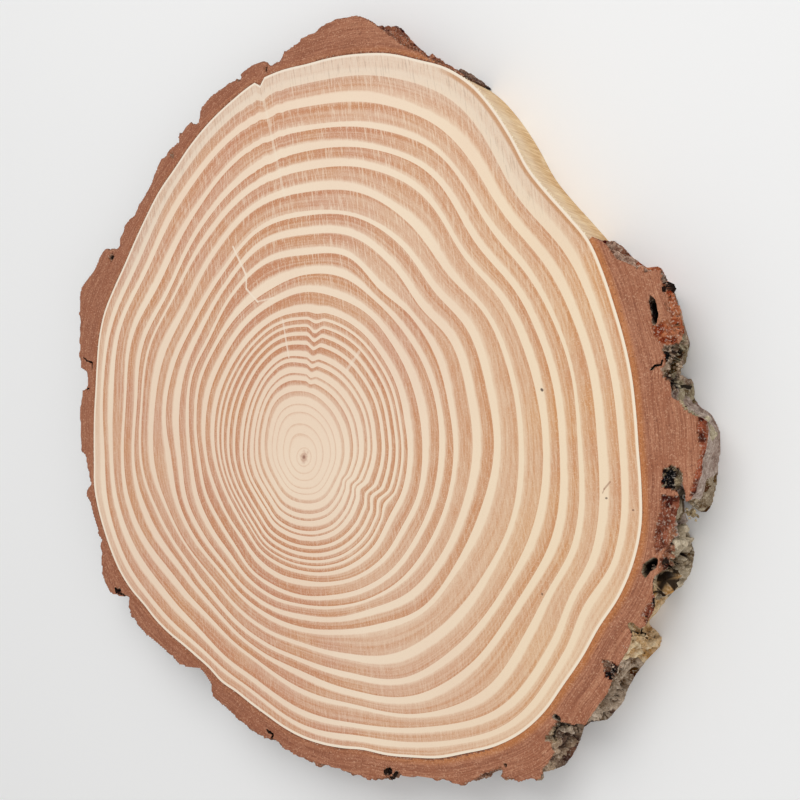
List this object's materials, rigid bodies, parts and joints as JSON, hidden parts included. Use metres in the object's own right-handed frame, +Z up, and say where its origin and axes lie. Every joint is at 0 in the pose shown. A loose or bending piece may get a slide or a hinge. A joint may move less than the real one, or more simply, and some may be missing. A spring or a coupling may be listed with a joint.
{
  "type": "wood slice",
  "caption": "Round slice sawn across a softwood trunk, with growth rings on both faces and rough bark around most of its rim.",
  "frame": {"origin": "on the surface the slice lies on, under the middle of its outline", "axes": "+Z up, square to both sawn faces; +X towards the thickest bark; +Y towards the widest side of the wood"},
  "size_m": [0.2493, 0.2462, 0.017],
  "materials": {
    "wood": "sanded, unfinished",
    "bark": "rough, flaking"
  },
  "bodies": {
    "root": {"wood": "wood", "bark": "bark"}
  },
  "joints": []
}
